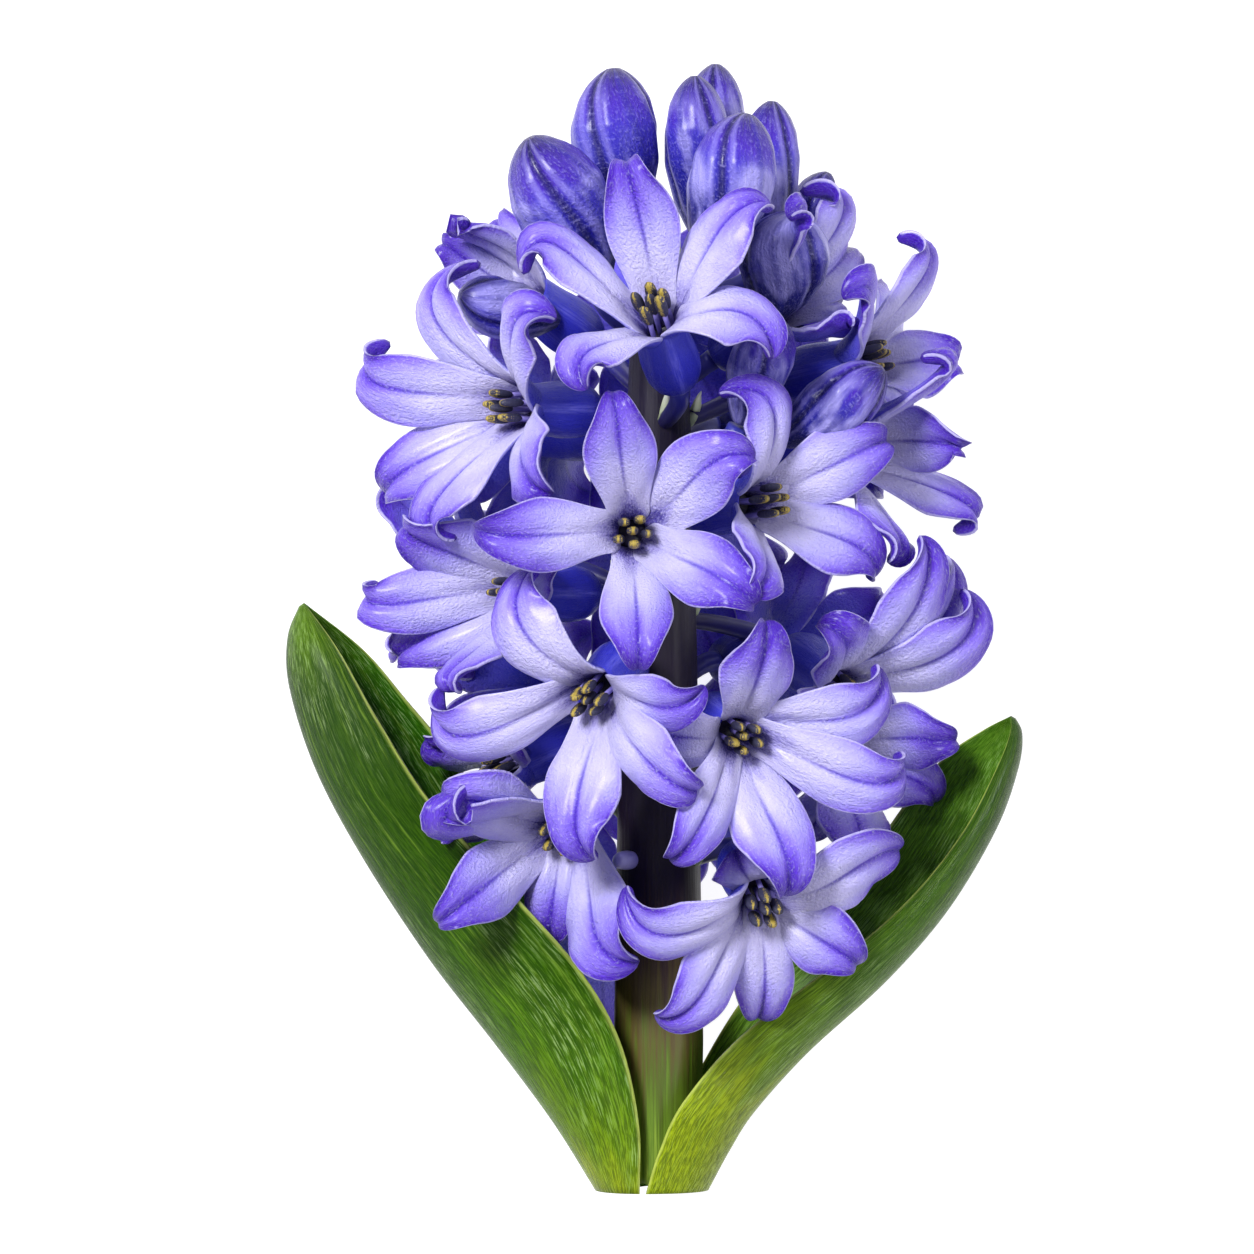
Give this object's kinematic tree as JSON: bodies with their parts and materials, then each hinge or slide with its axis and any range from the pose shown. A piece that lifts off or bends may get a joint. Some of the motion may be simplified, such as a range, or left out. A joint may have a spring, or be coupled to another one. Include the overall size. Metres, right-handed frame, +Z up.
{
  "type": "hyacinth flower",
  "caption": "Cut hyacinth lying on its side: a thick stem with a dense head of violet-blue starry florets and closed buds, and long channelled green leaves at its foot.",
  "frame": {"origin": "on the surface the flower lies on, under the middle of the whole flower", "axes": "+Y runs up the stem from its cut foot towards the buds, +Z points up from the surface to whoever looks down on the flower, and +X is that viewer's right"},
  "size_m": [0.0956, 0.147, 0.0607],
  "materials": {
    "stem": "satin",
    "leaf": "glossy, waxy",
    "bud": "satin, waxy",
    "petal": "satin, waxy",
    "stamen": "matte"
  },
  "bodies": {
    "root": {"stem": "stem", "leaf_left": "leaf", "leaf_right": "leaf", "bud_1": "bud", "bud_2": "bud", "bud_3": "bud", "bud_4": "bud", "bud_5": "bud", "bud_6": "bud", "bud_7": "bud", "bud_8": "bud", "bud_9": "bud", "floret_upper_front": "petal", "floret_centre": "petal", "floret_lower_left_front": "petal", "floret_lower_right_front": "petal", "floret_bottom_right": "petal", "floret_bottom_left": "petal", "floret_left_low": "petal", "floret_left_top": "petal", "floret_left_middle": "petal", "floret_left_back": "petal", "floret_right_middle": "petal", "floret_right": "petal", "floret_right_top": "petal", "floret_right_upper": "petal", "floret_right_low": "petal", "floret_left_crown": "petal", "floret_right_crown": "petal", "floret_back_1": "petal", "floret_back_2": "petal", "floret_back_3": "petal", "floret_back_4": "petal", "floret_back_5": "petal", "floret_back_6": "petal", "floret_back_7": "petal", "floret_back_8": "petal", "stamens_upper_front": "stamen", "stamens_centre": "stamen", "stamens_lower_left_front": "stamen", "stamens_lower_right_front": "stamen", "stamens_bottom_right": "stamen", "stamens_bottom_left": "stamen", "stamens_left_low": "stamen", "stamens_left_top": "stamen", "stamens_left_middle": "stamen", "stamens_left_back": "stamen", "stamens_right_middle": "stamen", "stamens_right": "stamen", "stamens_right_top": "stamen", "stamens_right_upper": "stamen", "stamens_right_low": "stamen", "stamens_back_1": "stamen", "stamens_back_2": "stamen", "stamens_back_3": "stamen", "stamens_back_4": "stamen", "stamens_back_5": "stamen", "stamens_back_6": "stamen", "stamens_back_7": "stamen", "stamens_back_8": "stamen"}
  },
  "joints": []
}
